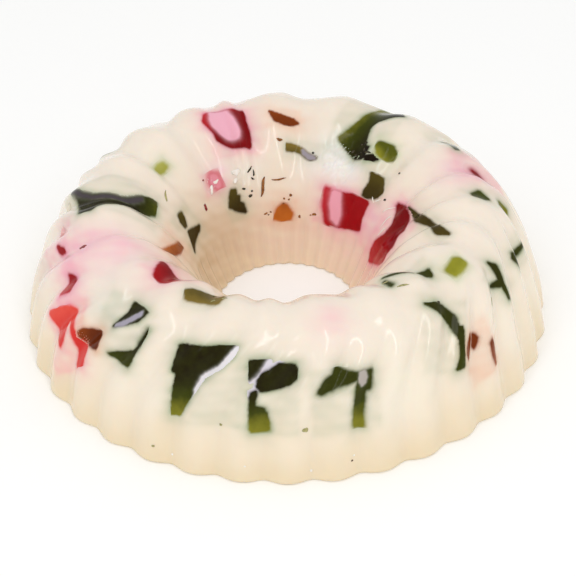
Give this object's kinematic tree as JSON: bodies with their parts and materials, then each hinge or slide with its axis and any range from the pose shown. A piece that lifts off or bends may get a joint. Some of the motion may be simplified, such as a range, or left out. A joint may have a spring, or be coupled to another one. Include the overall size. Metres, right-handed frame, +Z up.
{
  "type": "moulded jelly",
  "caption": "Fluted ring of creamy milk jelly turned out of a mould, with firm coloured jelly cubes set in it that show in the grooves.",
  "frame": {"origin": "on the ring's axis, on its flat underside", "axes": "+Z up along the ring's axis; -Y towards the front, +X to the right seen from the front"},
  "size_m": [0.219, 0.219, 0.0573],
  "materials": {
    "milk_jelly": "wet gloss, creamy and slightly translucent, moulded smooth",
    "green_jelly": "wet gloss, deep translucent green, nearly black where thick",
    "lime_jelly": "wet gloss, light translucent yellow-green",
    "olive_jelly": "wet gloss, translucent brown-green",
    "red_jelly": "wet gloss, deep translucent red",
    "scarlet_jelly": "wet gloss, bright translucent red",
    "amber_jelly": "wet gloss, translucent amber to russet"
  },
  "bodies": {
    "root": {"milk_jelly_ring": "milk_jelly", "cube_red_left": "scarlet_jelly", "cube_green_left": "green_jelly", "cube_green_front_left": "green_jelly", "cube_green_front": "green_jelly", "cube_green_front_right": "green_jelly", "cube_green_shoulder": "green_jelly", "cube_amber_right": "amber_jelly", "cube_green_right": "green_jelly", "cube_green_right_low": "green_jelly", "cube_green_right_high": "green_jelly", "cube_red_right_back": "red_jelly", "cube_green_back_right": "green_jelly", "cube_green_back_large": "green_jelly", "cube_green_far_back": "green_jelly", "cube_red_far_back": "red_jelly", "cube_amber_far_back": "amber_jelly", "cube_green_far_left": "green_jelly", "cube_lime_back": "lime_jelly", "cube_lime_right": "lime_jelly", "cube_green_rim_right": "green_jelly", "cube_green_tail": "olive_jelly", "cube_amber_back": "amber_jelly", "cube_red_back": "red_jelly", "cube_lime_left": "lime_jelly", "cube_green_left_long": "green_jelly", "cube_red_rim_left": "red_jelly", "cube_olive_rim": "olive_jelly", "cube_red_shoulder_left": "red_jelly", "cube_red_far_left": "red_jelly", "cube_russet_left": "amber_jelly", "cube_russet_hole_left": "amber_jelly", "cube_green_hole_left": "olive_jelly", "cube_pink_hole": "red_jelly", "cube_green_hole_back": "olive_jelly", "cube_amber_hole": "amber_jelly", "cube_green_hole_broken": "olive_jelly", "cube_red_hole_back": "red_jelly", "cube_olive_hole": "olive_jelly", "cube_red_hole_right": "red_jelly"}
  },
  "joints": []
}
